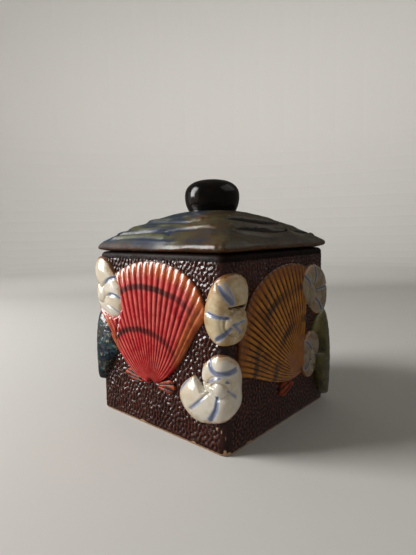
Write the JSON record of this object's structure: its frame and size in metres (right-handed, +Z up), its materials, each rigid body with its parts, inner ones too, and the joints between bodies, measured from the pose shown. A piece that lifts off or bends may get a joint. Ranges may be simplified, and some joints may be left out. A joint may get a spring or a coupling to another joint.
{
  "type": "ceramic lidded jar",
  "caption": "Square stoneware jar with scallop and snail shells in relief on stippled brown walls, and a domed square lid with wave ridges and a round knob.",
  "frame": {"origin": "middle of the flat underside of the jar", "axes": "+Z up through the knob; -Y out of the wall with the red scallop, +X out of the wall with the ochre scallop"},
  "size_m": [0.1174, 0.1175, 0.1485],
  "materials": {
    "brown_glaze": "glossy dark brown glaze over a stippled wall",
    "floating_blue_glaze": "glossy blue-green glaze that breaks to rust brown on the edges",
    "red_shell_glaze": "glossy red glaze with orange rim and dark bands",
    "ochre_shell_glaze": "glossy ochre glaze with dark bands",
    "cream_shell_glaze": "glossy cream glaze with grey-blue strokes",
    "green_shell_glaze": "glossy olive-green glaze",
    "blue_black_shell_glaze": "glossy blue-black glaze",
    "knob_glaze": "glossy near-black brown glaze",
    "bare_clay": "matt unglazed clay"
  },
  "bodies": {
    "root": {"jar": "brown_glaze", "lid": "floating_blue_glaze"}
  },
  "joints": []
}
